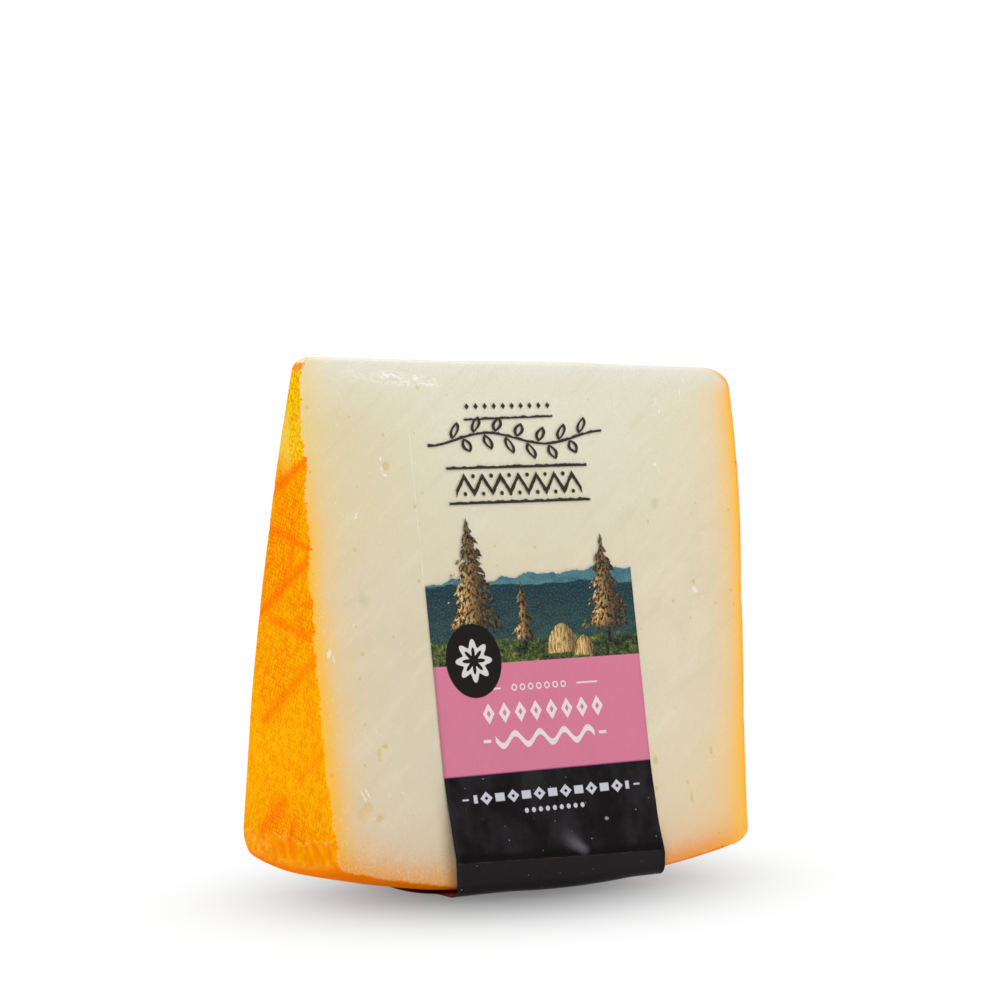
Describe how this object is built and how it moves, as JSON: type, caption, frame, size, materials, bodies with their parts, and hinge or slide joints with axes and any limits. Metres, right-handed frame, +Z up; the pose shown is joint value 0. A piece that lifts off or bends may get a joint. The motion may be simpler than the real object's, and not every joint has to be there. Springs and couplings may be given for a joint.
{
  "type": "vacuum-packed goat cheese wedge",
  "caption": "Wedge of pressed goat cheese with an orange rind, in a skin-tight clear pack, standing on its rim with a printed band folded under it.",
  "frame": {"origin": "on the surface that the wedge stands on, under the middle of its outline", "axes": "+X along the wheel's axis, -Y out of the large cut face that carries the band, +Z up towards the tip"},
  "size_m": [0.1078, 0.0428, 0.107],
  "materials": {
    "packed_cheese": "cream paste and orange rind under a tight clear film with a soft gloss",
    "clear_film": "clear glossy pack film",
    "printed_band": "glossy printed plastic film, clear at the top, black at the foot"
  },
  "bodies": {
    "root": {"cheese_wedge": "packed_cheese", "label_band": "printed_band"}
  },
  "joints": []
}
